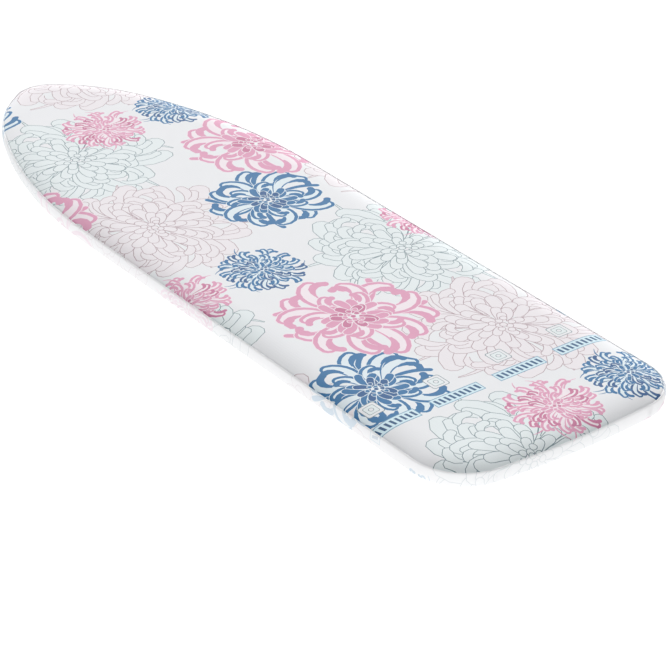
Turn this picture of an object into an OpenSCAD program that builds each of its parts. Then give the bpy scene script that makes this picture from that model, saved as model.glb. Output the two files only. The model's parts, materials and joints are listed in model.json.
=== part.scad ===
// Folding ironing board, stored with its legs folded flat under the board.
// X runs along the board: nose at -X, square end at +X. Y runs across, Z is up.
// The origin is on the floor, under the middle of the board. All sizes are in millimetres.

/* [Board] */
// Length of the board, nose tip to square end
board_length = 1400; // [1390:5:1440]
// Width of the board
board_width = 427; // [420:1:440]
// Radius of the nose tip
tip_radius = 60; // [50:1:65]
// Radius of the shoulder behind the nose tip
shoulder_radius = 307; // [290:1:330]
// Radius of the two corners at the square end
corner_radius = 83; // [60:1:95]
// Thickness of the covered board, ironing surface to underside
board_thickness = 25.5; // [25:0.5:30]

/* [Legs] */
// Distance from the fixed pivot to the crossing, and from the crossing to the slider axle
upper_arm = 472; // [468:1:474]
// Distance from the crossing to the middle of a foot
lower_arm = 512; // [510:1:514]
// Outer diameter of the leg tubes
leg_tube_d = 22; // [20:1:22]
// Outer diameter of the foot tubes
foot_tube_d = 24; // [22:1:24]
// Depth of the leg tubes' middle below the ironing surface
leg_depth = 44; // [44:0.5:48]

// Angle between a leg and the board at full height
full_fold = 56; // [48:1:57]

/* [Slider] */
// Diameter of the guide rod under the board
guide_rod_d = 8; // [6:1:8]
// Diameter of the slider axle
slider_axle_d = 10; // [8:1:10]
// Diameter of the wire that the release lever is bent from
lever_wire_d = 6; // [5:1:6]

/* [Sheet] */
// Diameter of the steam holes
steam_hole_d = 13; // [8:1:16]
// Distance between steam holes in a row
steam_hole_pitch = 38; // [34:1:60]

/* [Hidden] */
$fn = 64;

// Outline: headings of the tangent, in degrees from +X, where one arc meets the next
shoulder_start = 54;
shoulder_end = 24;
end_sweep = 5;

// Layers of the board, from the ironing surface down
cover_t = 1;
layer_gap = 0.2;
pad_t = 5.8;
sheet_t = 1;
rim_t = 1.5;
rim_inset = cover_t + 0.4;
rim_top_flange = 14;
rim_bottom_flange = 9;
hem_width = 38;
pad_top = cover_t + layer_gap;
sheet_top = pad_top + pad_t + layer_gap;
rim_top = sheet_top + sheet_t;
rim_bottom = board_thickness - cover_t - layer_gap;

// Heights above the floor
cap_radius = foot_tube_d / 2 + 3;
leg_z = cap_radius;
board_z = leg_z + leg_depth;

// Leg tubes
tube_r = leg_tube_d / 2;
tube_wall = 1.2;
foot_r = foot_tube_d / 2;
tube_overhang = 14;
outer_y = 80;
inner_y = 45;
outer_foot_half = 140;
inner_foot_half = 150;
pivot_x = -360;
crossing_x = pivot_x + upper_arm;
slider_x = crossing_x + upper_arm;
outer_foot_x = crossing_x + lower_arm;
inner_foot_x = crossing_x - lower_arm;
brace_t = 2.4;
outer_brace_upper_x = -250;
outer_brace_lower_x = 410;
inner_brace_x = -160;
brace_width = 26;

// Bolts and their running clearance
bolt_r = 4;
run = 0.05;
side_gap = 0.3;
head_t = 5;
nut_t = 4.5;
washer_t = 1.2;

// Cross bars and brackets under the board
bar_width = 34;
bar_t = 1.5;
bar_lip = 5;
bar_top = rim_top + rim_t;
bar_front_x = pivot_x;
bar_middle_x = crossing_x;
bar_rear_x = 646;
bracket_t = 2.5;
bracket_half = 15;
bracket_inner_y = outer_y - tube_r - 2;
bracket_outer_y = outer_y + tube_r + 2;

// Guide rod, slider and lever
guide_r = guide_rod_d / 2;
guide_z = board_z - 18;
guide_overhang = 5;
clip_r = 6;
stop_length = 10;
stop_x = pivot_x + 2 * upper_arm * cos(full_fold) - 26.4;
axle_r = slider_axle_d / 2;
block_half = 26;
block_back = 26;
block_front = 14;
wire_r = lever_wire_d / 2;
wire_dx = 21;
wire_z = guide_z - 10;
ear_in = 9.5;
ear_out = 15.5;
lever_rest_tilt = -6;
wire_bend = 10;
grip_y = -128;
grip_length = 72;
grip_width = 28;
grip_t = 10;
grip_end = 88;

// ---- outline of the board: five arcs and a straight side, mirrored ----

// Point on a circle whose outline runs with the given heading, clockwise
function on_arc(c, r, h) = [c.x - r * sin(h), c.y + r * cos(h)];
// Points along an arc between two headings, drawn inset millimetres inside it
function arc(c, r, h0, h1, inset, steps) =
  [for (i = [0 : steps]) on_arc(c, r - inset, h0 + (h1 - h0) * i / steps)];

half_w = board_width / 2;
flank_radius = (half_w + (shoulder_radius - tip_radius) * cos(shoulder_start)
  - shoulder_radius * cos(shoulder_end)) / (1 - cos(shoulder_end));
tip_c = [tip_radius - board_length / 2, 0];
shoulder_c = tip_c + (shoulder_radius - tip_radius) * [sin(shoulder_start), -cos(shoulder_start)];
flank_c = shoulder_c + (flank_radius - shoulder_radius) * [sin(shoulder_end), -cos(shoulder_end)];
end_radius = (half_w - corner_radius) / sin(end_sweep) + corner_radius;
end_c = [board_length / 2 - end_radius, 0];
corner_c = end_c + (end_radius - corner_radius) * [cos(end_sweep), sin(end_sweep)];

function half_outline(inset) = concat(
  arc(tip_c, tip_radius, 90, shoulder_start, inset, 8),
  arc(shoulder_c, shoulder_radius, shoulder_start, shoulder_end, inset, 12),
  arc(flank_c, flank_radius, shoulder_end, 0, inset, 12),
  arc(corner_c, corner_radius, 0, end_sweep - 90, inset, 14),
  arc(end_c, end_radius, end_sweep - 90, -90, inset, 5));

// Whole outline; the meeting point of two arcs is kept once
function outline(inset = 0) = let (
    h = half_outline(inset),
    upper = [for (i = [0 : len(h) - 1]) if (i == 0 || norm(h[i] - h[i - 1]) > 0.01) h[i]],
    n = len(upper))
  concat(upper, [for (i = [n - 2 : -1 : 1]) [upper[i].x, -upper[i].y]]);

// Half width of the outline at x, the least of the curves that bound it there
function circle_top(c, r, x) = c.y + sqrt(max(0, r * r - (x - c.x) * (x - c.x)));
function half_width(x) =
  x < on_arc(tip_c, tip_radius, shoulder_start).x ? circle_top(tip_c, tip_radius, x) :
  x < on_arc(shoulder_c, shoulder_radius, shoulder_end).x ? circle_top(shoulder_c, shoulder_radius, x) :
  x < flank_c.x ? circle_top(flank_c, flank_radius, x) :
  x < corner_c.x ? half_w :
  circle_top(corner_c, corner_radius, min(x, corner_c.x + corner_radius));

// ---- building blocks ----

// A layer of the board: its outline, inset, from depth top to depth bottom
module layer(inset, top, bottom) {
  translate([0, 0, board_z - bottom])
    linear_extrude(bottom - top)
      polygon(outline(inset));
}

// A band that follows the outline between two insets
module band(outer, inner, top, bottom) {
  difference() {
    layer(outer, top, bottom);
    layer(inner, top - 1, bottom + 1);
  }
}

// Round bars along X or Y, given by their two ends
module rod_x(r, x0, x1, y, z) {
  translate([x0, y, z])
    rotate([0, 90, 0])
      cylinder(r = r, h = x1 - x0);
}

module rod_y(r, y0, y1, x, z) {
  translate([x, y0, z])
    rotate([-90, 0, 0])
      cylinder(r = r, h = y1 - y0);
}

// Hexagon head or nut on an axis along Y
module hex_y(across, y0, y1, x, z) {
  translate([x, y0, z])
    rotate([-90, 0, 0])
      cylinder(d = across / cos(30), h = y1 - y0, $fn = 6);
}

module ring_y(r_out, r_in, y0, y1, x, z) {
  difference() {
    rod_y(r_out, y0, y1, x, z);
    rod_y(r_in, y0 - 1, y1 + 1, x, z);
  }
}

module ring_x(r_out, r_in, x0, x1, y, z) {
  difference() {
    rod_x(r_out, x0, x1, y, z);
    rod_x(r_in, x0 - 1, x1 + 1, y, z);
  }
}

module both_sides() {
  children();
  mirror([0, 1, 0]) children();
}

// ---- board ----

// Cotton cover: top, side band and the hem that is drawn in under the rim
module cover() {
  color("whitesmoke")
    difference() {
      layer(0, 0, board_thickness);
      layer(cover_t, cover_t, board_thickness - cover_t);
      layer(hem_width, cover_t, board_thickness + 1);
    }
}

module felt_pad() {
  color("gainsboro")
    layer(cover_t + 0.3, pad_top, pad_top + pad_t);
}

// Rows of round steam holes, every other row shifted by half a pitch
module steam_holes() {
  margin = rim_inset + rim_top_flange + steam_hole_d;
  row_pitch = steam_hole_pitch * sin(60);
  rows = floor(210 / row_pitch);
  columns = floor(board_length / 2 / steam_hole_pitch);
  for (row = [-rows : rows], column = [-columns : columns]) {
    x = (column + (row % 2 == 0 ? 0 : 0.5)) * steam_hole_pitch;
    y = row * row_pitch;
    if (abs(y) < half_width(x) - margin && abs(x) < board_length / 2 - margin - 10)
      translate([x, y]) circle(d = steam_hole_d);
  }
}

module steam_sheet() {
  color("silver")
    translate([0, 0, board_z - sheet_top - sheet_t])
      linear_extrude(sheet_t)
        difference() {
          polygon(outline(rim_inset));
          steam_holes();
        }
}

// Rolled steel rim: an outer wall with a flange above and below
module rim() {
  color("lightgrey")
    difference() {
      layer(rim_inset, rim_top, rim_bottom);
      layer(rim_inset + rim_t, rim_top + rim_t, rim_bottom - rim_t);
      layer(rim_inset + rim_top_flange, rim_top - 1, rim_bottom - rim_t);
      layer(rim_inset + rim_bottom_flange, rim_top + rim_t, rim_bottom + 1);
    }
}

// Elastic band lying on the inner edge of the hem
module hem_elastic() {
  color("white")
    band(hem_width - 8, hem_width - 1, board_thickness - cover_t - 1.4, board_thickness - cover_t);
}

// Channel bar across the board, cut to the inside of the rim, open below
module cross_bar(x, notch) {
  color("lightgrey")
    difference() {
      intersection() {
        translate([x - bar_width / 2, -300, board_z - bar_top - bar_t - bar_lip])
          cube([bar_width, 600, bar_t + bar_lip]);
        layer(rim_inset + rim_t + 0.2, bar_top, bar_top + 20);
      }
      translate([x - bar_width / 2 + bar_t, -301, board_z - bar_top - bar_t - bar_lip - 1])
        cube([bar_width - 2 * bar_t, 602, bar_lip + 1]);
      if (notch)
        translate([x - bar_width, -20, board_z - bar_top - bar_t - bar_lip - 1])
          cube([2 * bar_width, 40, bar_lip + 1]);
    }
}

module cross_bar_front() { cross_bar(bar_front_x, false); }
module cross_bar_middle() { cross_bar(bar_middle_x, true); }
module cross_bar_rear() { cross_bar(bar_rear_x, true); }

// U bracket that holds the end of one outer leg tube between two plates
module pivot_bracket() {
  top = board_z - bar_top - bar_t;
  color("lightgrey")
    difference() {
      union() {
        for (y = [bracket_inner_y - bracket_t, bracket_outer_y]) {
          translate([pivot_x - bracket_half, y, leg_z])
            cube([2 * bracket_half, bracket_t, top - leg_z]);
          rod_y(12, y, y + bracket_t, pivot_x, leg_z);
        }
        translate([pivot_x - bracket_half, bracket_inner_y - bracket_t, top - bracket_t])
          cube([2 * bracket_half, bracket_outer_y - bracket_inner_y + 2 * bracket_t, bracket_t]);
      }
      rod_y(bolt_r, outer_y - 60, outer_y + 60, pivot_x, leg_z);
    }
}

module pivot_bracket_left() { pivot_bracket(); }
module pivot_bracket_right() { mirror([0, 1, 0]) pivot_bracket(); }

module pivot_bolts() {
  outside = bracket_outer_y + bracket_t;
  inside = bracket_inner_y - bracket_t;
  color("silver")
    both_sides() {
      rod_y(bolt_r, inside - nut_t - 1, outside + washer_t, pivot_x, leg_z);
      rod_y(8, outside, outside + washer_t, pivot_x, leg_z);
      hex_y(13, outside + washer_t, outside + washer_t + head_t, pivot_x, leg_z);
    }
}

module pivot_nuts() {
  inside = bracket_inner_y - bracket_t;
  color("silver")
    both_sides()
      difference() {
        hex_y(13, inside - nut_t, inside, pivot_x, leg_z);
        rod_y(bolt_r, inside - nut_t - 1, inside + 1, pivot_x, leg_z);
      }
}

module guide_rod() {
  color("silver")
    rod_x(guide_r, bar_middle_x - guide_overhang, bar_rear_x + guide_overhang, 0, guide_z);
}

// Angle bracket that carries one end of the guide rod
module guide_bracket(x, side) {
  top = board_z - bar_top - bar_t;
  color("lightgrey")
    difference() {
      union() {
        translate([x - bracket_t / 2, -13, guide_z])
          cube([bracket_t, 26, top - guide_z]);
        rod_x(13, x - bracket_t / 2, x + bracket_t / 2, 0, guide_z);
        translate([side > 0 ? x : x - 14, -13, top - bracket_t])
          cube([14, 26, bracket_t]);
      }
      rod_x(guide_r, x - 10, x + 10, 0, guide_z);
      translate([x - 20, -20, top])
        cube([40, 40, 10]);
    }
}

module guide_bracket_front() { guide_bracket(bar_middle_x, 1); }
module guide_bracket_rear() { guide_bracket(bar_rear_x, -1); }

// Spring clips outside the two guide brackets
module guide_rod_clips() {
  color("silver") {
    ring_x(clip_r, guide_r, bar_middle_x - bracket_t / 2 - 1.5, bar_middle_x - bracket_t / 2, 0, guide_z);
    ring_x(clip_r, guide_r, bar_rear_x + bracket_t / 2, bar_rear_x + bracket_t / 2 + 1.5, 0, guide_z);
  }
}

// Collar that stops the slider when the board stands at full height
module stop_collar() {
  color("silver")
    ring_x(9, guide_r, stop_x - stop_length, stop_x, 0, guide_z);
}

// ---- outer leg: pivots at the nose side, its foot is at the square end ----

module outer_tube() {
  start = pivot_x - tube_overhang;
  color("gainsboro")
    difference() {
      rod_x(tube_r, start, outer_foot_x, outer_y, leg_z);
      rod_x(tube_r - tube_wall, start - 1, outer_foot_x, outer_y, leg_z);
      rod_y(foot_r, -200, 200, outer_foot_x, leg_z);
      rod_y(bolt_r + run, outer_y - 20, outer_y + 20, pivot_x, leg_z);
      rod_y(bolt_r, outer_y - 20, outer_y + 20, crossing_x, leg_z);
    }
}

module outer_tube_left() { outer_tube(); }
module outer_tube_right() { mirror([0, 1, 0]) outer_tube(); }

module foot_tube(x, half) {
  color("gainsboro")
    ring_y(foot_r, foot_r - tube_wall, -half + 4, half - 4, x, leg_z);
}

// Plastic cap pushed over the end of a foot tube, with three grip grooves
module foot_cap(x, half) {
  cap_length = 34;
  wall = 3;
  edge = 4;
  groove = 0.8;
  color("dimgray")
    translate([x, half, leg_z])
      rotate([90, 0, 0])
        rotate_extrude()
          difference() {
            union() {
              translate([0, edge]) square([cap_radius, cap_length - edge]);
              square([cap_radius - edge, cap_length]);
              translate([cap_radius - edge, edge]) circle(r = edge);
            }
            translate([-1, wall + 1]) square([foot_r + 1, cap_length]);
            translate([-cap_radius, -1]) square([cap_radius, cap_length + 2]);
            for (i = [0 : 2])
              translate([cap_radius, 10 + 7 * i]) circle(r = groove);
          }
}

module outer_foot_tube() { foot_tube(outer_foot_x, outer_foot_half); }
module outer_foot_cap_left() { foot_cap(outer_foot_x, outer_foot_half); }
module outer_foot_cap_right() { mirror([0, 1, 0]) foot_cap(outer_foot_x, outer_foot_half); }

// Plug that closes the open end of a leg tube; facing is the way it points out
module tube_plug(x, y, facing) {
  plug_t = 2.5;
  spigot = 8;
  color("dimgray")
    translate([x, y, leg_z])
      rotate([0, 90 * facing, 0]) {
        cylinder(r = tube_r, h = plug_t);
        translate([0, 0, -spigot])
          cylinder(r = tube_r - tube_wall - 0.05, h = spigot);
      }
}

module outer_tube_plugs() {
  both_sides() tube_plug(pivot_x - tube_overhang, outer_y, -1);
}

// Flat bar welded across the two outer tubes, above them or below them
module outer_brace(x, above) {
  z0 = above ? leg_z + tube_r + 0.4 : leg_z - tube_r - 0.4 - brace_t;
  seat_z = above ? leg_z + tube_r - 2 : z0;
  color("gainsboro")
    difference() {
      union() {
        translate([x - brace_width / 2, -outer_y - 9, z0])
          cube([brace_width, 2 * outer_y + 18, brace_t]);
        both_sides()
          translate([x - brace_width / 2, outer_y - 9, seat_z])
            cube([brace_width, 18, brace_t + 2.4]);
      }
      both_sides() rod_x(tube_r, x - 50, x + 50, outer_y, leg_z);
    }
}

module outer_brace_upper() { outer_brace(outer_brace_upper_x, true); }
module outer_brace_lower() { outer_brace(outer_brace_lower_x, false); }

// Rivet heads on the two braces, two over each tube
module outer_brace_rivets() {
  head = 0.9;
  color("silver")
    both_sides()
      for (dx = [-7, 7]) {
        translate([outer_brace_upper_x + dx, outer_y, leg_z + tube_r + 0.4 + brace_t])
          cylinder(r1 = 3.2, r2 = 2.2, h = head);
        translate([outer_brace_lower_x + dx, outer_y, leg_z - tube_r - 0.4 - brace_t - head])
          cylinder(r1 = 2.2, r2 = 3.2, h = head);
      }
}

// Bolts that the two legs turn on where they cross
module crossing_bolts() {
  outside = outer_y + tube_r;
  inside = inner_y - tube_r - side_gap;
  color("silver")
    both_sides() {
      rod_y(bolt_r, inside - nut_t - 1, outside + 0.4 + washer_t, crossing_x, leg_z);
      rod_y(8, outside + 0.4, outside + 0.4 + washer_t, crossing_x, leg_z);
      hex_y(13, outside + 0.4 + washer_t, outside + 0.4 + washer_t + head_t, crossing_x, leg_z);
    }
}

module crossing_nuts() {
  inside = inner_y - tube_r - side_gap;
  color("silver")
    both_sides()
      difference() {
        hex_y(13, inside - nut_t, inside, crossing_x, leg_z);
        rod_y(bolt_r, inside - nut_t - 1, inside + 1, crossing_x, leg_z);
      }
}

// Plastic spacers between the crossing tubes, saddled on the outer tube
module crossing_spacers() {
  color("dimgray")
    both_sides()
      difference() {
        rod_y(9, inner_y + tube_r + side_gap, outer_y - tube_r + 4, crossing_x, leg_z);
        rod_y(bolt_r, 0, outer_y, crossing_x, leg_z);
        rod_x(tube_r, crossing_x - 50, crossing_x + 50, outer_y, leg_z);
      }
}

// ---- inner leg: hinged on the outer leg, its foot is at the nose side ----

module inner_tube() {
  end = slider_x + tube_overhang;
  color("gainsboro")
    difference() {
      rod_x(tube_r, inner_foot_x, end, inner_y, leg_z);
      rod_x(tube_r - tube_wall, inner_foot_x, end + 1, inner_y, leg_z);
      rod_y(foot_r, -200, 200, inner_foot_x, leg_z);
      rod_y(bolt_r + run, inner_y - 20, inner_y + 20, crossing_x, leg_z);
      rod_y(axle_r, inner_y - 20, inner_y + 20, slider_x, leg_z);
    }
}

module inner_tube_left() { inner_tube(); }
module inner_tube_right() { mirror([0, 1, 0]) inner_tube(); }
module inner_foot_tube() { foot_tube(inner_foot_x, inner_foot_half); }
module inner_foot_cap_left() { foot_cap(inner_foot_x, inner_foot_half); }
module inner_foot_cap_right() { mirror([0, 1, 0]) foot_cap(inner_foot_x, inner_foot_half); }

module inner_tube_plugs() {
  both_sides() tube_plug(slider_x + tube_overhang, inner_y, 1);
}

// Round tube welded between the two inner tubes
module inner_brace() {
  brace_r = 9;
  color("gainsboro")
    difference() {
      ring_y(brace_r, brace_r - tube_wall, -inner_y, inner_y, inner_brace_x, leg_z);
      both_sides() rod_x(tube_r, inner_brace_x - 40, inner_brace_x + 40, inner_y, leg_z);
    }
}

module slider_axle() {
  end = inner_y + tube_r + 5;
  color("silver")
    rod_y(axle_r, -end, end, slider_x, leg_z);
}

// Push-on caps that keep the axle in the tubes
module slider_axle_nuts() {
  start = inner_y + tube_r + 0.1;
  color("dimgray")
    both_sides()
      difference() {
        rod_y(8, start, start + 6.5, slider_x, leg_z);
        rod_y(axle_r, start - 1, start + 4.9, slider_x, leg_z);
      }
}

module slider_axle_spacers() {
  color("dimgray")
    both_sides()
      ring_y(8, axle_r, block_half + side_gap, inner_y - tube_r - 0.1, slider_x, leg_z);
}

// ---- slider: runs on the guide rod and carries the inner leg's axle ----

module slider_block() {
  top_z = guide_z + 8;
  ear_x = slider_x + wire_dx;
  color("slategray")
    difference() {
      union() {
        rod_y(11, -block_half, block_half, slider_x, leg_z);
        translate([slider_x - 11, -block_half, leg_z])
          cube([22, 2 * block_half, guide_z - leg_z]);
        translate([slider_x - block_back, -15, guide_z - 9])
          cube([block_back + block_front, 30, 9 + top_z - guide_z]);
        for (y = [-ear_out, ear_in]) {
          translate([slider_x, y, wire_z - 6])
            cube([wire_dx, ear_out - ear_in, 12]);
          rod_y(6, y, y + ear_out - ear_in, ear_x, wire_z);
        }
      }
      rod_x(guide_r + run, slider_x - 60, slider_x + 60, 0, guide_z);
      rod_y(axle_r + run, -60, 60, slider_x, leg_z);
      rod_y(wire_r + run, -60, 60, ear_x, wire_z);
      translate([slider_x + block_front, -ear_in, 0])
        cube([40, 2 * ear_in, 80]);
    }
}

// Torsion spring round the lever wire, beside one ear, with a tail that lies on the slider
module lever_spring() {
  coil_r = wire_r + 1.2;
  spring_wire = 0.8;
  pitch = 1.4;
  turns = 5;
  start = -ear_out - 1.2;
  color("silver") {
    translate([slider_x + wire_dx, start, wire_z])
      rotate([90, 0, 0])
        rotate_extrude()
          for (i = [0 : turns - 1])
            translate([coil_r, pitch * i]) circle(r = spring_wire);
    rod_x(0.85 * spring_wire, slider_x + 11.3, slider_x + wire_dx, start, wire_z + coil_r);
  }
}

// ---- release lever: squeezing the grip towards the board lets the slider run ----

// Places a lever part, drawn round the wire's axis, at its resting tilt
module on_lever() {
  translate([slider_x + wire_dx, 0, wire_z])
    rotate([0, lever_rest_tilt, 0])
      children();
}

// Plate that jams on the guide rod while the lever is let go, with a hub welded on the wire
module clamp_plate() {
  plate_t = 3;
  hub_r = wire_r + 2.2;
  rod_up = guide_z - wire_z;
  color("silver")
    on_lever()
      difference() {
        union() {
          rod_y(hub_r, -7, 7, 0, 0);
          rod_x(8.5, -plate_t / 2, plate_t / 2, 0, rod_up);
          translate([-plate_t / 2, -7, 0]) cube([plate_t, 14, rod_up]);
        }
        rod_y(wire_r, -10, 10, 0, 0);
        rod_x(guide_r + 0.8, -10, 10, 0, rod_up);
      }
}

module lever_wire() {
  color("silver")
    on_lever() {
      translate([0, grip_y + wire_bend, 0])
        rotate([-90, 0, 0])
          cylinder(r = wire_r, h = ear_out + 4 - grip_y - wire_bend);
      translate([-wire_bend, grip_y + wire_bend, 0])
        rotate([0, 0, -90])
          rotate_extrude(angle = 90)
            translate([wire_bend, 0]) circle(r = wire_r);
      translate([-grip_end + 6, grip_y, 0])
        rotate([0, 90, 0])
          cylinder(r = wire_r, h = grip_end - 6 - wire_bend);
    }
}

// Moulded grip on the end of the wire
module lever_grip() {
  end_r = grip_width / 2;
  color("dimgray")
    on_lever()
      difference() {
        translate([0, grip_y, -grip_t / 2])
          linear_extrude(grip_t)
            union() {
              translate([-grip_end + end_r, 0]) circle(r = end_r);
              translate([-grip_end + grip_length - end_r, 0]) circle(r = end_r);
              translate([-grip_end + end_r, -end_r]) square([grip_length - 2 * end_r, 2 * end_r]);
            }
        translate([-grip_end + 6, grip_y, 0])
          rotate([0, 90, 0])
            cylinder(r = wire_r, h = grip_end);
      }
}

// Clip on the free end of the lever wire
module lever_clip() {
  color("silver")
    on_lever()
      ring_y(5.5, wire_r, ear_out + 0.4, ear_out + 1.9, 0, 0);
}

cover();
felt_pad();
steam_sheet();
rim();
hem_elastic();
cross_bar_front();
cross_bar_middle();
cross_bar_rear();
pivot_bracket_left();
pivot_bracket_right();
pivot_bolts();
pivot_nuts();
guide_rod();
guide_bracket_front();
guide_bracket_rear();
guide_rod_clips();
stop_collar();
outer_tube_left();
outer_tube_right();
outer_foot_tube();
outer_foot_cap_left();
outer_foot_cap_right();
outer_tube_plugs();
outer_brace_upper();
outer_brace_lower();
outer_brace_rivets();
crossing_bolts();
crossing_nuts();
crossing_spacers();
inner_tube_left();
inner_tube_right();
inner_foot_tube();
inner_foot_cap_left();
inner_foot_cap_right();
inner_tube_plugs();
inner_brace();
slider_axle();
slider_axle_nuts();
slider_axle_spacers();
slider_block();
lever_spring();
clamp_plate();
lever_wire();
lever_grip();
lever_clip();
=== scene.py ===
"""Folding ironing board with its legs folded flat: the printed cover, the pad under it and all finishes."""

import json
import math
import random

import bpy
import numpy as np
from mathutils import Matrix, Vector
from mathutils.geometry import delaunay_2d_cdt


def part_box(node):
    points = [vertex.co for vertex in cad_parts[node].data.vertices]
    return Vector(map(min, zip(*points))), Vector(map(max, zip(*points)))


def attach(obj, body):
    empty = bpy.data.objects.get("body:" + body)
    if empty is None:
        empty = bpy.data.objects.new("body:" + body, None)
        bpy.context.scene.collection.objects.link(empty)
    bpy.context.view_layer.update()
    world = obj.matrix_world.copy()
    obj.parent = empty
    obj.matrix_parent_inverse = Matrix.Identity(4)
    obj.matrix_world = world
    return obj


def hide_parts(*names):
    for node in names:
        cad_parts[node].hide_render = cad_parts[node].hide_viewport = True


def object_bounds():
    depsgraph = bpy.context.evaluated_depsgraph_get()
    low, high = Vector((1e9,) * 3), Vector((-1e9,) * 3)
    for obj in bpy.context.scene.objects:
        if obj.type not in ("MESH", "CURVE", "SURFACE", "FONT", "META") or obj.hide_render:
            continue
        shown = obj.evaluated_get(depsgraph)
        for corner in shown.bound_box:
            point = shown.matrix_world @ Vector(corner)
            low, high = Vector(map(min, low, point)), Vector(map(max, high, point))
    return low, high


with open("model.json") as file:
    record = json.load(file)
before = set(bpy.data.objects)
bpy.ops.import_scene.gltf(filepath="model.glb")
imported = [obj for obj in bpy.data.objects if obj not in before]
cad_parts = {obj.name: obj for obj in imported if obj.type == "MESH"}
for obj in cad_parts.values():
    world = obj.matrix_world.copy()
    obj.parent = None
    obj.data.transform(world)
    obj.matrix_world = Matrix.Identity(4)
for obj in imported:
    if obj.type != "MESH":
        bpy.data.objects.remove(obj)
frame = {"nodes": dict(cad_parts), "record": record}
cad_lo, cad_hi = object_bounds()
nodes = frame["nodes"]

# ---- driving dimensions, in metres ----
cover_lo, cover_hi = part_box("cover")
LENGTH = cover_hi.x - cover_lo.x
HALF_WIDTH = cover_hi.y
CAD_TOP = cover_hi.z
CAD_BOTTOM = cover_lo.z
CAD_LOW = cad_lo.z
TIP_RADIUS = 0.060
SHOULDER_RADIUS = 0.307
CORNER_RADIUS = 0.083
SHOULDER_START = math.radians(54)
SHOULDER_END = math.radians(24)
END_SWEEP = math.radians(5)

CROWN = 0.0045  # the padded middle stands this much above the CAD's flat top
SEAM_DROP = 0.0082  # and the seam lies this much below the middle
ROLL = 0.062  # width of the strip along the seam where the top rolls down
ROLL_POWER = 3.4  # the higher, the later and steeper the top rolls down
SEAM_INSET = 0.0022  # how far inside the outline the seam runs
GROOVE = 0.0016  # depth of the groove that the seam pulls in
GROOVE_WIDTH = 0.0022
HEM = 0.038  # how far the hem reaches in under the rim
RIPPLE = 0.0004  # height of the faint ripples in the side band
PUCKER = 0.0008  # height of the folds that the elastic draws in the hem
PAD_GAP = 0.0012  # from the cover down to the pad's top
MIDDLE_Z = CAD_TOP + CROWN
SEAM_Z = MIDDLE_Z - SEAM_DROP
BAND_HEIGHT = SEAM_Z - CAD_BOTTOM
JOIN = 1e-6  # the triangulation joins points nearer than this

OPEN_ANGLE = math.radians(56)
LEG_LENGTH = 0.984
FLOOR_Z = CAD_LOW - LEG_LENGTH * math.sin(OPEN_ANGLE)  # just under the feet of the opened board


# ---- the outline: five arcs and a straight side, mirrored ----


def outline_parts():
    """Arcs as (centre x, centre y, radius, first heading, last heading, length before it), and the side."""
    nose = -LENGTH / 2
    tip = (nose + TIP_RADIUS, 0.0)
    step = SHOULDER_RADIUS - TIP_RADIUS
    shoulder = (tip[0] + step * math.sin(SHOULDER_START), -step * math.cos(SHOULDER_START))
    flank_radius = HALF_WIDTH + step * math.cos(SHOULDER_START) - SHOULDER_RADIUS * math.cos(SHOULDER_END)
    flank_radius /= 1 - math.cos(SHOULDER_END)
    step = flank_radius - SHOULDER_RADIUS
    flank = (
        shoulder[0] + step * math.sin(SHOULDER_END),
        shoulder[1] - step * math.cos(SHOULDER_END),
    )
    end_radius = (HALF_WIDTH - CORNER_RADIUS) / math.sin(END_SWEEP) + CORNER_RADIUS
    end = (LENGTH / 2 - end_radius, 0.0)
    step = end_radius - CORNER_RADIUS
    corner = (end[0] + step * math.cos(END_SWEEP), step * math.sin(END_SWEEP))
    quarter = math.pi / 2
    turns = [
        (tip, TIP_RADIUS, quarter, SHOULDER_START),
        (shoulder, SHOULDER_RADIUS, SHOULDER_START, SHOULDER_END),
        (flank, flank_radius, SHOULDER_END, 0.0),
        (corner, CORNER_RADIUS, 0.0, END_SWEEP - quarter),
        (end, end_radius, END_SWEEP - quarter, -quarter),
    ]
    arcs = []
    run = 0.0
    side = None
    for k, (c, r, h0, h1) in enumerate(turns):
        if k == 3:
            side = (flank[0], corner[0], run)
            run += corner[0] - flank[0]
        arcs.append((c[0], c[1], r, h0, h1, run))
        run += r * (h0 - h1)
    return arcs, side


ARCS, SIDE = outline_parts()


def near_outline(xy):
    """For each point: depth inside the outline, outward direction, distance along it and curvature there."""
    x = xy[:, 0]
    y = np.abs(xy[:, 1])
    sign = np.where(xy[:, 1] < 0, -1.0, 1.0)
    depth = np.full(len(xy), 1.0)
    nx = np.ones(len(xy))
    ny = np.zeros(len(xy))
    along = np.zeros(len(xy))
    curve = np.zeros(len(xy))
    slack = 1e-6
    for cx, cy, r, h0, h1, run in ARCS:
        vx = x - cx
        vy = y - cy
        h = np.arctan2(-vx, vy)
        h = np.where(h > math.pi / 2 + slack, h - 2 * math.pi, h)
        d = r - np.hypot(vx, vy)
        use = (h <= h0 + slack) & (h >= h1 - slack) & (d < depth)
        depth = np.where(use, d, depth)
        nx = np.where(use, -np.sin(h), nx)
        ny = np.where(use, np.cos(h), ny)
        along = np.where(use, run + r * (h0 - h), along)
        curve = np.where(use, 1 / r, curve)
    x0, x1, run = SIDE
    d = HALF_WIDTH - y
    use = (x >= x0 - slack) & (x <= x1 + slack) & (d < depth)
    depth = np.where(use, d, depth)
    nx = np.where(use, 0.0, nx)
    ny = np.where(use, 1.0, ny)
    along = np.where(use, run + x - x0, along)
    curve = np.where(use, 0.0, curve)
    return depth, nx, ny * sign, along * sign, curve


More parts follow.
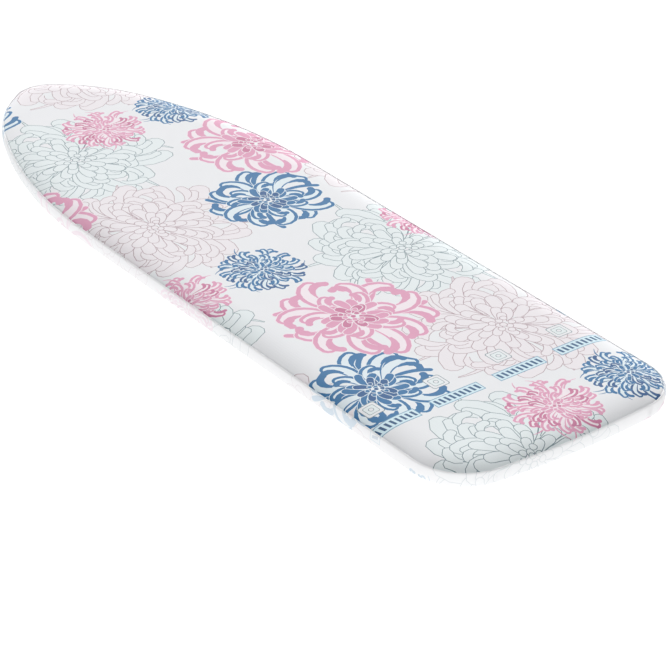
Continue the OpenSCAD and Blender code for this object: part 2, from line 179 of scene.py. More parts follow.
def loop(inset, spacing=0.007):
    """Points round the outline at a depth inside it (negative: outside)."""
    upper = []
    for k, (cx, cy, r, h0, h1, run) in enumerate(ARCS):
        if k == 3:
            count = int((SIDE[1] - SIDE[0]) / spacing)
            for i in range(1, count):
                upper.append((SIDE[0] + (SIDE[1] - SIDE[0]) * i / count, HALF_WIDTH - inset))
        count = max(2, int((r - min(inset, 0.0)) * (h0 - h1) / spacing))
        for i in range(count + 1):
            h = h0 + (h1 - h0) * i / count
            p = (cx - (r - inset) * math.sin(h), cy + (r - inset) * math.cos(h))
            if not upper or math.dist(upper[-1], p) > 1e-5:
                upper.append(p)
    lower = [(x, -y) for x, y in reversed(upper[1:-1])]
    return upper + lower


# ---- the cover's shape: flat cloth to its place on the board ----

# Side band, from the seam down and under: outward from the outline, and height above the seam
BAND_SHAPE = [
    (-SEAM_INSET, -GROOVE),
    (-0.0016, -0.0002),
    (-0.0008, 0.0004),
    (0.0002, -0.0003),
    (0.0011, -0.0022),
    (0.0016, -0.0060),
    (0.0018, -BAND_HEIGHT * 0.5),
    (0.0014, -BAND_HEIGHT * 0.75),
    (0.0006, -BAND_HEIGHT * 0.92),
    (-0.0016, -BAND_HEIGHT),
    (-0.0060, -BAND_HEIGHT - 0.0001),
    (-0.0190, -BAND_HEIGHT),
    (-HEM + 0.0010, -BAND_HEIGHT + 0.0003),
    (-HEM - 0.0008, -BAND_HEIGHT + 0.0018),
    (-HEM + 0.0020, -BAND_HEIGHT + 0.0032),
]

BAND_STEPS = 8  # fine points between two of these


def band_curve():
    """The band's cross-section as distances along it and places, smoothed between its points."""
    p = np.array(BAND_SHAPE)
    p = np.vstack([2 * p[0] - p[1], p, 2 * p[-1] - p[-2]])
    fine = []
    for i in range(1, len(p) - 2):
        a, b, c, d = p[i - 1 : i + 3]
        slope = c - a
        square = 2 * a - 5 * b + 4 * c - d
        cube = 3 * b - a - 3 * c + d
        for t in np.linspace(0, 1, BAND_STEPS, endpoint=False):
            fine.append(0.5 * (2 * b + slope * t + square * t**2 + cube * t**3))
    fine.append(p[-2])
    fine = np.array(fine)
    step = np.hypot(*(fine[1:] - fine[:-1]).T)
    return np.concatenate([[0], np.cumsum(step)]), fine


BAND_RUN, BAND_PLACE = band_curve()
BAND_LENGTH = BAND_RUN[-1]
CLOTH_REACH = BAND_LENGTH - SEAM_INSET  # how far the flat cloth reaches outside the outline
PAST_SHOULDER = 60  # fine points above the band's lower part, where it starts to run in under the rim
WALL_LENGTH = float(np.interp(-0.0016, -BAND_PLACE[PAST_SHOULDER:, 0], BAND_RUN[PAST_SHOULDER:]))


def top_drop(depth):
    """How far the top has rolled down at a depth inside the outline."""
    t = np.clip((ROLL - depth) / (ROLL - SEAM_INSET), 0, 1)
    dive = np.clip(1 - (depth - SEAM_INSET) / GROOVE_WIDTH, 0, 1)
    return SEAM_DROP * t**ROLL_POWER + GROOVE * dive**2


def waves(along, pitch):
    """Angles of a wave of this pitch at distances along the outline."""
    return along * 2 * math.pi / pitch


def cloth(xy):
    """Places flat cloth on the board. The top keeps its place, and past the seam it goes down and under."""
    depth, nx, ny, along, curve = near_outline(xy)
    out = np.array(xy, float)
    z = MIDDLE_Z - top_drop(depth)
    past = depth < SEAM_INSET
    t = np.clip(SEAM_INSET - depth, 0, BAND_LENGTH)
    off = np.interp(t, BAND_RUN, BAND_PLACE[:, 0])
    drop = np.interp(t, BAND_RUN, BAND_PLACE[:, 1])
    tight = 0.35 + 0.65 * np.clip(curve * CORNER_RADIUS, 0, 1)
    wall = np.clip(t / WALL_LENGTH, 0, 1)
    ripple = np.sin(waves(along, 0.0163) + 2 * np.sin(along * 31)) * np.sin(waves(along, 0.047))
    off = off + RIPPLE * tight * ripple * np.sin(wall * math.pi / 2) * (t > 0.003)
    under = np.clip((t - WALL_LENGTH) / (BAND_LENGTH - WALL_LENGTH), 0, 1)
    fold = np.sin(waves(along, 0.0131) + 1.7 * np.sin(along * 23) + 0.8 * np.sin(along * 71))
    drop = drop + under * tight * (PUCKER * fold) - 0.0003 * under
    q = np.stack([xy[:, 0] + depth * nx, xy[:, 1] + depth * ny], 1)
    moved = q + np.stack([nx, ny], 1) * off[:, None]
    out[past] = moved[past]
    z = np.where(past, SEAM_Z + drop, z)
    return np.column_stack([out, z])


# ---- materials ----


def linear(r, g, b):
    """Screen colour 0..255 to the linear colour that shaders use."""
    def one(v):
        v /= 255
        return v / 12.92 if v <= 0.04045 else ((v + 0.055) / 1.055) ** 2.4

    return (one(r), one(g), one(b), 1.0)


def material(name, colour, roughness=0.5, metallic=0.0, sheen=0.0, coat=0.0):
    """A new node material, and what is needed to go on building it."""
    m = bpy.data.materials.new(name)
    m.use_nodes = True
    tree = m.node_tree
    shader = tree.nodes["Principled BSDF"]
    shader.inputs["Base Color"].default_value = colour
    shader.inputs["Roughness"].default_value = roughness
    shader.inputs["Metallic"].default_value = metallic
    shader.inputs["Sheen Weight"].default_value = sheen
    shader.inputs["Coat Weight"].default_value = coat
    m.diffuse_color = colour
    return m, tree, shader


def add(tree, kind, **values):
    """A node, with input values given by name (spaces as underscores)."""
    node = tree.nodes.new(kind)
    for key, value in values.items():
        node.inputs[key.replace("_", " ")].default_value = value
    return node


def place(tree):
    """Places on the object itself, for textures that stay with it."""
    return tree.nodes.new("ShaderNodeTexCoord").outputs["Object"]


def noise(tree, scale, detail=3.0, roughness=0.5, stretch=None):
    """Cloudy values 0..1, drawn out along an axis if stretch is given."""
    where = place(tree)
    if stretch:
        mapping = add(tree, "ShaderNodeMapping", Scale=stretch)
        tree.links.new(where, mapping.inputs["Vector"])
        where = mapping.outputs["Vector"]
    n = add(tree, "ShaderNodeTexNoise", Scale=scale, Detail=detail, Roughness=roughness)
    tree.links.new(where, n.inputs["Vector"])
    return n.outputs["Fac"]


def bump(tree, shader, height, strength, distance):
    """Fine relief from a height value."""
    b = add(tree, "ShaderNodeBump", Strength=strength, Distance=distance)
    tree.links.new(height, b.inputs["Height"])
    tree.links.new(b.outputs["Normal"], shader.inputs["Normal"])


def spread(tree, value, low, high, target):
    """Sends a 0..1 value to a socket, spread from low to high."""
    r = tree.nodes.new("ShaderNodeMapRange")
    r.inputs["To Min"].default_value = low
    r.inputs["To Max"].default_value = high
    tree.links.new(value, r.inputs["Value"])
    tree.links.new(r.outputs["Result"], target)


def tint(tree, shader, value, dark, light):
    """Base colour that wanders between two near tones."""
    ramp = tree.nodes.new("ShaderNodeValToRGB")
    ramp.color_ramp.elements[0].position = 0.3
    ramp.color_ramp.elements[0].color = linear(*dark)
    ramp.color_ramp.elements[1].position = 0.7
    ramp.color_ramp.elements[1].color = linear(*light)
    tree.links.new(value, ramp.inputs["Fac"])
    tree.links.new(ramp.outputs["Color"], shader.inputs["Base Color"])


THREAD_PITCH = 0.0007  # of the cotton


def threads(tree, pitch):
    """Height of a plain weave: threads along X and along Y, over and under."""
    both = []
    for direction in ("X", "Y"):
        w = tree.nodes.new("ShaderNodeTexWave")
        w.wave_type = "BANDS"
        w.bands_direction = direction
        w.inputs["Scale"].default_value = 1 / (pitch * 20)
        w.inputs["Distortion"].default_value = 0.6
        tree.links.new(place(tree), w.inputs["Vector"])
        both.append(w.outputs["Fac"])
    mix = tree.nodes.new("ShaderNodeMath")
    mix.operation = "MAXIMUM"
    tree.links.new(both[0], mix.inputs[0])
    tree.links.new(both[1], mix.inputs[1])
    return mix.outputs["Value"]


def printed(name, colour):
    """Woven cotton, printed in one ink."""
    m, tree, shader = material(name, colour, roughness=0.86, sheen=0.12)
    shader.inputs["Sheen Roughness"].default_value = 0.6
    shader.inputs["Specular IOR Level"].default_value = 0.25
    bump(tree, shader, threads(tree, THREAD_PITCH), 0.25, 0.0002)
    spread(tree, noise(tree, 60), 0.78, 0.94, shader.inputs["Roughness"])
    return m


def toned(colour, white, share):
    """A colour taken part of the way to white."""
    return tuple(a + (b - a) * share for a, b in zip(colour, white))


# The side band is the same printed cloth as the top; its paler inks are painted light, the brighter light on
# the band
BAND_PAINTED_LIGHT_WHITE = (248, 248, 249)
BAND_PAINTED_LIGHT_SHARE = 0.82  # painted light: how far the side band's inks are taken towards white, a lit copy of the top's inks
INKS = {
    "ground": (228, 229, 231),
    "blue": (46, 111, 160),
    "blue_deep": (42, 90, 140),
    "blue_pale": (218, 229, 234),
    "pink": (217, 154, 182),
    "pink_deep": (196, 118, 152),
    "pink_pale": (236, 225, 230),
    "teal_line": (112, 134, 141),
    "teal_fill": (223, 230, 231),
    "rose_line": (170, 146, 153),
    "rose_fill": (230, 225, 228),
    "strip_edge": (112, 158, 184),
    "strip_fill": (206, 228, 236),
    "strip_bar": (44, 88, 128),
}
INK_NAMES = list(INKS)


# ---- the print: petals as outlines in flat cloth, painted one over another ----


def round_from(angle, radius, centre=(0.0, 0.0)):
    """The place at an angle and a radius from a centre."""
    return (centre[0] + radius * math.cos(angle), centre[1] + radius * math.sin(angle))


def fan(rng, number, phase, jitter):
    """Angles all round, each a little off its even place."""
    for k in range(number):
        yield 2 * math.pi * (k + phase + jitter * rng.uniform(-1, 1)) / number


def either_way(rng, low, high):
    """A turn to one side or the other."""
    return rng.choice((-1, 1)) * rng.uniform(low, high)


def spiral(count, pitch):
    """(number, place) of cells packed in a spiral, outermost first."""
    golden = math.pi * (3 - math.sqrt(5))
    for k in range(count - 1, -1, -1):
        yield k, round_from(golden * k, pitch * math.sqrt(k))


def petal(base, heading, length, bend, width, hook=1.0, neck=0.4, grow=0.0, steps=9, tip=4, taper=1.0):
    """Outline of a petal that leaves base at heading, turns by bend on the way, and ends round."""
    x, y = base
    left = []
    right = []
    for i in range(steps + 1):
        t = i / steps
        a = heading + bend * t**hook
        swell = neck + (1 - neck) * math.sin(math.pi / 2 * min(1.0, t / 0.75))
        if taper < 1 and t > 0.6:
            swell *= 1 - (1 - taper) * (t - 0.6) / 0.4
        half = width * swell + grow
        left.append((x - half * math.sin(a), y + half * math.cos(a)))
        right.append((x + half * math.sin(a), y - half * math.cos(a)))
        if i < steps:
            x += length / steps * math.cos(a)
            y += length / steps * math.sin(a)
    cap = []
    for i in range(1, tip):
        cap.append(round_from(a + math.pi / 2 - math.pi * i / tip, half, (x, y)))
    return left + cap + right[::-1]


def disc(centre, radius, wobble=0.0, lobes=9, steps=28, phase=0.0):
    """A disc with a wavy edge."""
    out = []
    for i in range(steps):
        a = 2 * math.pi * i / steps
        out.append(round_from(a, radius * (1 + wobble * math.sin(lobes * a + phase)), centre))
    return out


def curl(base, heading, length, turn, width, inks, edge=0.014, halo=0.012, steps=9):
    """A curled petal: an inked rim that thickens outwards, a pale hollow, and the end rolled back into it."""
    ink, pale = inks
    side = 1 if turn > 0 else -1
    shift = (-0.35 * edge * side * math.sin(heading), 0.35 * edge * side * math.cos(heading))
    inner = (base[0] + shift[0], base[1] + shift[1])
    form = {"hook": 2.2, "neck": 0.5, "steps": steps, "tip": 6}
    hollow = width - 1.1 * edge
    middle = heading + turn * 0.35
    root = round_from(middle * 0.5 + heading * 0.5, length * 0.58, base)
    bulb = petal(root, middle, length * 0.48, turn * 1.15, width * 0.52, hook=1.4, neck=0.25, steps=5, tip=5)
    return [
        (petal(base, heading, length, turn, width, grow=halo, **form), pale),
        (petal(base, heading, length, turn, width, **form), ink),
        (petal(inner, heading, length * 0.97, turn * 0.97, hollow, **form), pale),
        (bulb, ink),
    ]


def heart(count, pitch, radius, ink, deep, pale):
    """Small cells packed in a spiral at the middle of a flower."""
    out = []
    for k, at in spiral(count, pitch):
        out.append((disc(at, radius, 0.08, 3, 10, k), pale))
        out.append((disc(at, radius * 0.76, 0.08, 3, 10, k), deep if k % 3 == 0 else ink))
    return out


def solid_ring(rng, number, radius, length, width, turns, phase, inks, halo=0.013):
    """A ring of short solid petals with a thin pale line round each."""
    ink, pale = inks
    out = []
    for a in fan(rng, number, phase, 0.22):
        turn = either_way(rng, *turns)
        base = round_from(a, radius)
        long = length * rng.uniform(0.85, 1.15)
        out.append((petal(base, a, long, turn, width, neck=0.5, grow=halo, steps=6), pale))
        out.append((petal(base, a, long, turn, width, neck=0.5, steps=6), ink))
    return out


def curly_flower(seed, ink, deep, pale):
    """A big solid flower: curled ribbon petals round a heart of small ones. Its radius is 1."""
    rng = random.Random(seed)
    inks = (ink, pale)
    out = []
    for a in fan(rng, 5, 0.0, 0.3):
        base = round_from(a, 0.25)
        turn = either_way(rng, 0.7, 1.1)
        out.append((petal(base, a, 0.80, turn, 0.045, neck=0.5, grow=0.012, steps=9), pale))
        out.append((petal(base, a, 0.80, turn, 0.045, neck=0.5, steps=9), ink))
    for a in fan(rng, 12, 0.0, 0.22):
        turn = either_way(rng, 1.5, 2.5)
        base = round_from(a, 0.20)
        out += curl(base, a - 0.22 * turn, rng.uniform(0.70, 0.92), turn, 0.125, inks, edge=0.042)
    for a in fan(rng, 7, 0.5, 0.2):
        turn = either_way(rng, 1.2, 2.0)
        base = round_from(a, 0.12)
        out += curl(base, a - 0.2 * turn, rng.uniform(0.44, 0.54), turn, 0.100, inks, edge=0.040)
    out += solid_ring(rng, 13, 0.17, 0.26, 0.062, (0.4, 1.2), 0.5, inks)
    out += solid_ring(rng, 9, 0.08, 0.20, 0.056, (0.3, 1.0), 0.0, (deep, pale))
    out += heart(12, 0.055, 0.046, ink, deep, pale)
    return out


def dense_flower(seed, ink, deep, pale):
    """A small tight flower: rings of little petals, most curled the same way, and a few thin tendrils."""
    rng = random.Random(seed)
    out = []
    for _ in range(6):
        a = rng.uniform(0, 2 * math.pi)
        base = round_from(a, 0.7)
        out.append((petal(base, a + 0.3, 0.50, rng.choice((-1.2, 1.2)), 0.016, neck=1.0, taper=0.3), ink))
    out.append((disc((0, 0), 0.70, 0.05, 13, 40), pale))
    rings = ((17, 0.44, 0.52, 0.088), (14, 0.30, 0.42, 0.080), (11, 0.17, 0.32, 0.072))
    for ring, (number, radius, length, width) in enumerate(rings):
        for a in fan(rng, number, 0.5 * (ring % 2), 0.18):
            base = round_from(a, radius)
            turn = rng.uniform(1.0, 1.9) * (1 if rng.random() < 0.75 else -1)
            long = length * rng.uniform(0.85, 1.12)
            inks = (deep if rng.random() < 0.3 else ink, pale)
            out += curl(base, a - 0.35 * turn, long, turn, width, inks, edge=0.040, halo=0.010, steps=5)
    out += solid_ring(rng, 9, 0.08, 0.20, 0.045, (0.3, 1.0), 0.3, (ink, pale), halo=0.012)
    out += heart(8, 0.058, 0.052, ink, deep, pale)
    return out


def line_flower(seed, line, fill):
    """A very big pale flower drawn in thin lines: looping petals, a scaly heart and long tendrils."""
    rng = random.Random(seed)
    out = []
    thin = 0.0075

    def draw(*values, **options):
        """A petal with a thin line round it."""
        out.append((petal(*values, grow=thin, **options), line))
        out.append((petal(*values, **options), fill))

    def looped(base, heading, length, turn, width):
        """A wide petal whose end is rolled over, with lines along its hollow."""
        form = {"hook": 2.0, "neck": 0.5}
        draw(base, heading, length, turn, width, steps=7, tip=5, **form)
        draw(base, heading + 0.10 * turn, length * 0.86, turn * 0.8, width * 0.55, steps=6, tip=4, **form)
        middle = heading + 0.3 * turn
        root = round_from(middle, length * 0.62, base)
        draw(root, middle + 0.2 * turn, length * 0.36, turn * 1.1, width * 0.48, neck=0.3, steps=4, tip=5)

    for k in range(7):
        a = 2 * math.pi * k / 7 + rng.uniform(-0.3, 0.3)
        base = round_from(a, 0.40)
        long = rng.uniform(0.66, 0.80)
        draw(base, a, long, rng.uniform(-1.3, 1.3), 0.024, neck=1.2, steps=9, tip=3, taper=0.1)
    crowns = ((15, 0.26, 0.60, 0.76, 0.105, 0.0), (12, 0.20, 0.42, 0.52, 0.095, 0.5))
    for number, radius, low, high, width, phase in crowns:
        for a in fan(rng, number, phase, 0.2):
            turn = either_way(rng, 1.0, 2.1)
            base = round_from(a, radius)
            looped(base, a - 0.25 * turn, rng.uniform(low, high), turn, width)
    rings = ((13, 0.27, 0.24, 0.068), (11, 0.20, 0.20, 0.060), (9, 0.12, 0.17, 0.052), (7, 0.06, 0.13, 0.044))
    for ring, (number, radius, length, width) in enumerate(rings):
        for a in fan(rng, number, 0.5 * ring, 0.2):
            base = round_from(a, radius)
            draw(base, a, length, rng.uniform(-0.7, 0.7), width, neck=0.7, steps=3, tip=5)
    scale = 0.042
    for k, at in spiral(9, 0.045):
        out.append((disc(at, scale, 0.06, 3, 10, k), line))
        out.append((disc(at, scale - thin, 0.06, 3, 10, k), fill))
    return out


def strip():
    """A printed strip with a row of slanted bars. Its length runs along Y."""
    width = 0.022
    length = 0.087
    edge = 0.0014
    bars = 9

    def box(w, h, slant=0.0, y=0.0):
        """A bar across the strip, with its +X side moved up by the slant."""
        low = y - h / 2
        high = y + h / 2
        return [(-w / 2, low), (w / 2, low + slant), (w / 2, high + slant), (-w / 2, high)]

    out = [(box(width, length), "strip_edge"), (box(width - 2 * edge, length - 2 * edge), "strip_fill")]
    pitch = (length - 4 * edge) / bars
    for k in range(bars):
        y = (k - (bars - 1) / 2) * pitch
        out.append((box(width * 0.56, pitch * 0.5, pitch * 0.25, y - pitch * 0.12), "strip_bar"))
    return out


def badge():
    """A small rounded square with a dot in it."""

    def rounded(half, corner):
        """A square with round corners."""
        pts = []
        for q in range(4):
            for i in range(4):
                a = math.pi / 2 * (q + i / 3)
                cx = (half - corner) * (1 if q in (0, 3) else -1)
                cy = (half - corner) * (1 if q in (0, 1) else -1)
                pts.append(round_from(a, corner, (cx, cy)))
        return pts

    return [
        (rounded(0.0148, 0.004), "teal_line"),
        (rounded(0.0137, 0.0035), "ground"),
        (rounded(0.0095, 0.003), "teal_line"),
        (rounded(0.0087, 0.0026), "teal_fill"),
        (disc((0, 0), 0.0042, steps=14), "teal_line"),
        (disc((0, 0), 0.0033, steps=14), "ground"),
    ]


def put(shapes, centre, size, turn=0.0):
    """Shapes moved to their place on the cloth, scaled and turned."""
    c = math.cos(turn) * size
    s = math.sin(turn) * size
    moved = []
    for points, ink in shapes:
        moved.append(([(centre[0] + c * x - s * y, centre[1] + s * x + c * y) for x, y in points], ink))
    return moved


STEP_X = 0.549  # the print comes again after this far along the board
STEP_Y = 0.228  # and this far across it, which is half a repeat that way
LEAN = 0.02  # the print lies this much askew, as a slope
MARGIN = 0.16  # a flower is left out if its middle is further off the board than this
PRINT_REACH = 0.024  # a shape is left out if all of it is further past the outline, below the side band
MARKS = 5  # strips and badges in a row across the square end

# What the repeat holds, from the bottom layer up: drawing, seed, inks, place, size and turn
FLOWERS = [
    (line_flower, 3, ("teal_line", "teal_fill"), (-0.400, -0.100), 0.150, 0.6),
    (line_flower, 8, ("rose_line", "rose_fill"), (-0.130, -0.128), 0.150, 2.1),
    (curly_flower, 5, ("blue", "blue_deep", "blue_pale"), (-0.104, 0.068), 0.094, 0.3),
    (curly_flower, 12, ("pink", "pink_deep", "pink_pale"), (-0.285, 0.167), 0.112, 1.1),
    (dense_flower, 21, ("blue", "blue_deep", "blue_pale"), (-0.478, 0.143), 0.066, 0.0),
    (dense_flower, 34, ("pink", "pink_deep", "pink_pale"), (-0.470, -0.001), 0.070, 0.0),
]


def repeats(x, y):
    """Every place of one flower on the cloth: along, and half a repeat up or down each time."""
    out = []
    for i in range(-4, 5):
        for j in range(-4, 5):
            if (i + j) % 2 == 0:
                dx, dy = i * STEP_X, j * STEP_Y
                at = (x + dx - LEAN * dy, y + dy + LEAN * dx)
                if abs(at[0]) < LENGTH / 2 + MARGIN and abs(at[1]) < HALF_WIDTH + MARGIN:
                    out.append(at)
    return out


def whole_print():
    """Every printed shape with its ink, the lowest first."""
    out = []
    for drawing, seed, inks, place_in_repeat, size, turn in FLOWERS:
        flower = drawing(seed, *inks)
        for at in repeats(*place_in_repeat):
            out += put(flower, at, size, turn)
    for k in range(MARKS):
        out += put(strip(), (0.519 + 0.004 * k, 0.164 - 0.116 * k), 1.0, LEAN)
        out += put(badge(), (0.4747 + 0.004 * k, 0.164 - 0.117 * k), 1.0, LEAN)
    return out


# ---- pieces ----


def mesh_object(name, verts, faces, smooth=True):
    """A new mesh object in the scene."""
    mesh = bpy.data.meshes.new(name)
    mesh.from_pydata([tuple(v) for v in verts], [], [tuple(f) for f in faces])
    mesh.update()
    if smooth:
        mesh.shade_smooth()
    o = bpy.data.objects.new(name, mesh)
    bpy.context.scene.collection.objects.link(o)
    return o


def counterclockwise(verts, corners):
    """The corners in the order that runs counterclockwise, which the triangulation needs."""
    area = 0.0
    for a, b in zip(corners, corners[1:] + corners[:1]):
        area += verts[a][0] * verts[b][1] - verts[b][0] * verts[a][1]
    return corners if area > 0 else corners[::-1]


def rings(insets, spacing):
    """Closed rings of points at each depth: points, the edges that join them, and where each ring starts."""
    verts = []
    edges = []
    starts = []
    for inset in insets:
        ring = loop(inset, spacing)
        start = len(verts)
        starts.append(start)
        verts += ring
        edges += [(start + i, start + (i + 1) % len(ring)) for i in range(len(ring))]
    return verts, edges, starts


COVER_SPACING = 0.007
GRID = 0.03  # pitch of the points in the flat middle
GRID_INSET = 0.066  # which keep this far inside the outline
ROLL_INSETS = [0.060, 0.050, 0.041, 0.033, 0.026, 0.020, 0.015, 0.011, 0.008, 0.006, 0.0044, 0.0036, 0.0029]


def cut_by_print():
    """The flat cloth, cut by its print: points, faces, and the material slot of each face."""
    past = list(BAND_RUN[4:-1:4]) + [BAND_LENGTH * (1 - 1e-4)]
    insets = ROLL_INSETS + [SEAM_INSET] + [SEAM_INSET - t for t in past]
    verts, edges, starts = rings(insets, COVER_SPACING)
    faces = [counterclockwise(verts, list(range(starts[-1], len(verts))))]
    inks = ["ground"]
    for points, ink in whole_print():
        if near_outline(np.array(points))[0].max() < -PRINT_REACH:
            continue
        start = len(verts)
        verts += points
        faces.append(counterclockwise(verts, list(range(start, len(verts)))))
        inks.append(ink)
    for i in range(int(LENGTH / GRID) + 1):
        for j in range(int(2 * HALF_WIDTH / GRID) + 1):
            p = (-LENGTH / 2 + i * GRID, -HALF_WIDTH + (j + 0.5 * (i % 2)) * GRID)
            if near_outline(np.array([p]))[0][0] > GRID_INSET:
                verts.append(p)
    made = delaunay_2d_cdt([Vector(v) for v in verts], edges, faces, 1, JOIN, True)
    xy = np.array([(v.x, v.y) for v in made[0]])
    depth = near_outline(xy)[0]
    kept = []
    slots = []
    limit = -CLOTH_REACH - 1e-5
    for tri, origin in zip(made[2], made[5]):
        middle = sum(depth[i] for i in tri) / 3
        if 0 not in origin or middle < limit:
            continue
        ink = INK_NAMES.index(inks[max(origin)])
        # faces past the seam take the side band's paler copies of the inks, which are painted light
        slots.append(ink + (len(INK_NAMES) if middle < SEAM_INSET else 0))
        kept.append(tuple(tri))
    used = sorted({i for face in kept for i in face})
    index = {old: new for new, old in enumerate(used)}
    return xy[used], [tuple(index[i] for i in face) for face in kept], slots


def cloth_normals(xy):
    """The cloth's own smooth normals at its points."""
    h = 2e-4
    dx = cloth(xy + [h, 0]) - cloth(xy - [h, 0])
    dy = cloth(xy + [0, h]) - cloth(xy - [0, h])
    normals = np.cross(dx, dy)
    return normals / np.linalg.norm(normals, axis=1)[:, None]


def make_cover():
    """The whole cover: one cloth, cut by its print into faces of one ink each."""
    xy, faces, slots = cut_by_print()
    o = mesh_object("printed_cover", cloth(xy), faces)
    for name, colour in INKS.items():
        o.data.materials.append(printed("cotton_" + name, linear(*colour)))
    for name, colour in INKS.items():
        # painted light: the side band's faces get copies of the top's inks taken most of the way to white
        o.data.materials.append(printed("band_" + name, linear(*toned(colour, BAND_PAINTED_LIGHT_WHITE, BAND_PAINTED_LIGHT_SHARE))))
    o.data.polygons.foreach_set("material_index", slots)
    uv = o.data.uv_layers.new(name="OFBake")
    size = LENGTH + 2 * CLOTH_REACH
    corners = np.empty(len(o.data.loops), int)
    o.data.loops.foreach_get("vertex_index", corners)
    uv.data.foreach_set("uv", (xy[corners] / size + 0.5).ravel())
    o.data.normals_split_custom_set_from_vertices([tuple(n) for n in cloth_normals(xy)])
    return o


PAD_SPACING = 0.012
PAD_INSETS = [0.0040, 0.0048, 0.0065, 0.010, 0.016, 0.024, 0.034, 0.046, 0.060]
PAD_ROUND = 0.0016  # how much the pad's lower edge is rounded up


def make_pad():
    """The felt pad: flat below, and above it follows the cover's underside."""
    verts, edges, starts = rings(PAD_INSETS, PAD_SPACING)
    made = delaunay_2d_cdt([Vector(v) for v in verts], edges, [], 1, JOIN, True)
    xy = np.array([(v.x, v.y) for v in made[0]])
    place_of = {old[0]: new for new, old in enumerate(made[3]) if old}
    depth = near_outline(xy)[0]
    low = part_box("felt_pad")[0]
    top = MIDDLE_Z - top_drop(depth) - PAD_GAP
    bottom = low.z + PAD_ROUND * np.clip(1 - (depth - PAD_INSETS[0]) / 0.0012, 0, 1)
    n = len(xy)
    places = np.vstack([np.column_stack([xy, top]), np.column_stack([xy, bottom])])
    faces = [tuple(t) for t in made[2]]
    faces += [tuple(i + n for i in reversed(t)) for t in made[2]]
    rim = [place_of[i] for i in range(starts[1])]
    for a, b in zip(rim, rim[1:] + rim[:1]):
        faces.append((a, b, b + n, a + n))
    o = mesh_object("felt_padding", places, faces, smooth=False)
    m, tree, shader = material("felt_fibres", linear(214, 212, 206), roughness=0.95, sheen=0.3)
    tint(tree, shader, noise(tree, 900, 4, 0.7), (200, 198, 191), (228, 226, 221))
    bump(tree, shader, noise(tree, 1400, 3, 0.8), 0.5, 0.0006)
    o.data.materials.append(m)
    return o


cover = make_cover()
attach(cover, "board")
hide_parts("cover")
pad = make_pad()
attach(pad, "board")
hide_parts("felt_pad")


# ---- finishes of the metal and plastic parts ----


def powder_coat(name, dark, light, peel=0.35):
    """Baked powder paint: faint mottling, orange-peel bumps and a thin clear gloss."""
    m, tree, shader = material(name, linear(*light), roughness=0.42, coat=0.15)
    shader.inputs["Coat Roughness"].default_value = 0.3
    tint(tree, shader, noise(tree, 14, 4, 0.6), dark, light)
    spread(tree, noise(tree, 220, 2), 0.34, 0.5, shader.inputs["Roughness"])
    bump(tree, shader, noise(tree, 900, 2), peel, 0.0002)
    return m


def plated(name, dark, light, roughness):
    """Zinc or nickel plate: cloudy tint and fine scratches."""
    m, tree, shader = material(name, linear(*light), roughness=roughness, metallic=1.0)
    tint(tree, shader, noise(tree, 90, 5, 0.65), dark, light)
    scratch = noise(tree, 300, 2, 0.6, stretch=(0.15, 1.0, 1.0))
    spread(tree, scratch, roughness * 0.7, roughness * 1.4, shader.inputs["Roughness"])
    bump(tree, shader, scratch, 0.12, 0.0001)
    return m


def moulded(name, dark, light):
    """Moulded plastic with a fine spark-eroded grain."""
    m, tree, shader = material(name, linear(*light), roughness=0.5)
    tint(tree, shader, noise(tree, 25, 3), dark, light)
    spread(tree, noise(tree, 500, 2), 0.42, 0.62, shader.inputs["Roughness"])
    bump(tree, shader, noise(tree, 1600, 2, 0.7), 0.3, 0.00015)
    return m


def braided(name):
    """Elastic band: ribs along it, off-white, with painted shade darkening the grooves between the ribs."""
    m, tree, shader = material(name, linear(236, 234, 228), roughness=0.85, sheen=0.2)
    ribs = threads(tree, 0.0011)
    # painted shade: the colour darkens where the ribs' height is low, in the grooves
    tint(tree, shader, ribs, (206, 203, 195), (240, 239, 234))
    bump(tree, shader, ribs, 0.6, 0.0004)
    return m


def rolled_sheet(name):
    """Galvanised sheet: a large soft spangle and rolling lines."""
    m, tree, shader = material(name, linear(176, 178, 180), roughness=0.45, metallic=0.85)
    tint(tree, shader, noise(tree, 55, 6, 0.7), (150, 152, 155), (192, 194, 197))
    lines = noise(tree, 160, 2, 0.5, stretch=(0.05, 1.0, 1.0))
    spread(tree, lines, 0.34, 0.56, shader.inputs["Roughness"])
    bump(tree, shader, lines, 0.15, 0.0001)
    return m


def finish_nodes():
    """Gives every CAD node that is shown its finish, by what it is made of."""
    finishes = {
        "leg_paint": powder_coat("leg_powder_coat", (186, 190, 195), (206, 209, 213)),
        "frame_paint": powder_coat("frame_powder_coat", (178, 182, 188), (198, 202, 207), peel=0.25),
        "zinc_steel": plated("bright_zinc", (168, 172, 178), (206, 209, 214), 0.3),
        "spring_steel": plated("spring_wire", (120, 122, 126), (170, 172, 176), 0.26),
        "grey_plastic": moulded("grey_nylon", (66, 74, 84), (84, 93, 104)),
        "slider_plastic": moulded("blue_grey_acetal", (74, 98, 122), (92, 117, 142)),
        "sheet_steel": rolled_sheet("galvanised_sheet"),
        "elastic": braided("elastic_braid"),
    }
    for row in frame["record"]["subparts"]:
        node = nodes[row["node"]]
        if node.hide_render:
            continue
        finish = finishes[row["material_slot"]]
        if not node.data.materials:
            node.data.materials.append(finish)
        for i in range(len(node.data.materials)):
            node.data.materials[i] = finish


finish_nodes()


# ---- floor, light and camera ----


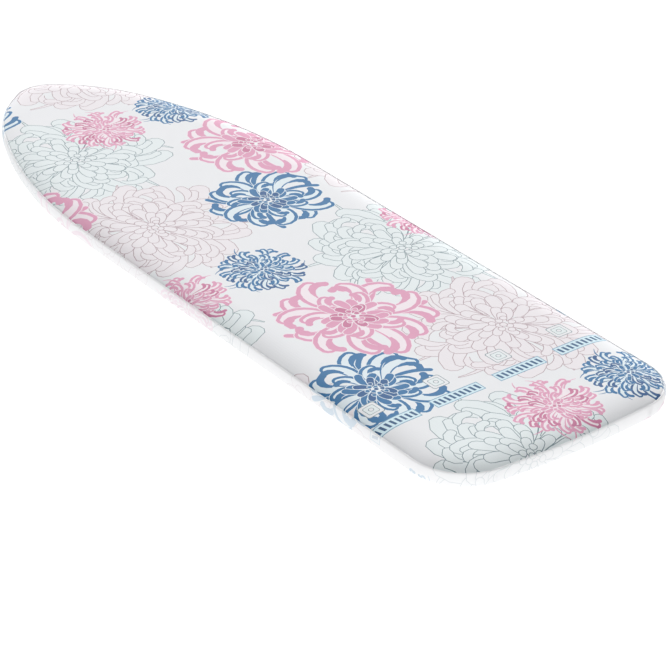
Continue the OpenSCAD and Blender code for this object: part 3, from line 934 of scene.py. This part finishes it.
def make_floor():
    """A pale floor where the feet of the opened board come to stand. From below it lets the view through."""
    half = 30.0
    grey = 0.25
    corners = [(-half, -half, FLOOR_Z), (half, -half, FLOOR_Z), (half, half, FLOOR_Z), (-half, half, FLOOR_Z)]
    floor = mesh_object("floor", corners, [(0, 1, 2, 3)])
    m, tree, shader = material("floor_white", (grey, grey, grey, 1), roughness=0.9)
    shader.inputs["Specular IOR Level"].default_value = 0.0
    shader.inputs["Emission Color"].default_value = (1, 1, 1, 1)
    shader.inputs["Emission Strength"].default_value = 0.88
    side = tree.nodes.new("ShaderNodeNewGeometry").outputs["Backfacing"]
    clear = tree.nodes.new("ShaderNodeBsdfTransparent")
    mix = tree.nodes.new("ShaderNodeMixShader")
    tree.links.new(side, mix.inputs["Fac"])
    tree.links.new(shader.outputs["BSDF"], mix.inputs[1])
    tree.links.new(clear.outputs["BSDF"], mix.inputs[2])
    tree.links.new(mix.outputs["Shader"], tree.nodes["Material Output"].inputs["Surface"])
    floor.data.materials.append(m)


def make_world():
    """Soft studio light: bright towards the horizon, darker overhead."""
    world = bpy.data.worlds.new("studio")
    bpy.context.scene.world = world
    world.use_nodes = True
    tree = world.node_tree
    back = tree.nodes["Background"]
    coordinates = tree.nodes.new("ShaderNodeTexCoord")
    parts = tree.nodes.new("ShaderNodeSeparateXYZ")
    tree.links.new(coordinates.outputs["Generated"], parts.inputs["Vector"])
    ramp = tree.nodes.new("ShaderNodeValToRGB")
    ramp.color_ramp.elements[0].position = 0.10
    ramp.color_ramp.elements[0].color = (1.0, 1.0, 1.0, 1)
    ramp.color_ramp.elements[1].position = 0.55
    ramp.color_ramp.elements[1].color = (0.14, 0.14, 0.145, 1)
    tree.links.new(parts.outputs["Z"], ramp.inputs["Fac"])
    tree.links.new(ramp.outputs["Color"], back.inputs["Color"])
    back.inputs["Strength"].default_value = 1.3


def towards(azimuth, elevation):
    """Direction in which something stands. Azimuth 0 is on the -Y side, 90 on the +X side."""
    a = math.radians(azimuth)
    e = math.radians(elevation)
    return Vector((math.sin(a) * math.cos(e), -math.cos(a) * math.cos(e), math.sin(e)))


def sun(name, azimuth, elevation, spread_angle, strength):
    """A soft light from far away."""
    back = towards(azimuth, elevation)
    data = bpy.data.lights.new(name, "SUN")
    data.angle = math.radians(spread_angle)
    data.energy = strength
    o = bpy.data.objects.new(name, data)
    o.location = back * 5
    o.rotation_mode = "QUATERNION"
    o.rotation_quaternion = back.to_track_quat("Z", "Y")
    bpy.context.scene.collection.objects.link(o)


CAMERA_PLACE = Vector((2.895, -2.109, 1.940))
CAMERA_AZIMUTH = 52.39
CAMERA_ELEVATION = 29.73
CAMERA_ROLL = math.radians(0.88)
CAMERA_LENS = 142.8


def make_camera():
    """A long lens above the square end and one long side, rolled a little."""
    data = bpy.data.cameras.new("camera")
    data.sensor_width = 36.0
    data.lens = CAMERA_LENS
    o = bpy.data.objects.new("camera", data)
    bpy.context.scene.collection.objects.link(o)
    back = towards(CAMERA_AZIMUTH, CAMERA_ELEVATION)
    turn = (-back).to_track_quat("-Z", "Y").to_matrix() @ Matrix.Rotation(CAMERA_ROLL, 3, "Z")
    o.rotation_mode = "QUATERNION"
    o.rotation_quaternion = turn.to_quaternion()
    o.location = CAMERA_PLACE
    bpy.context.scene.camera = o


make_floor()
make_world()
sun("key", 232, 27, 24, 4.15)
sun("front", 42, 22, 16, 0.60)
make_camera()
bpy.context.scene.view_settings.view_transform = "Standard"
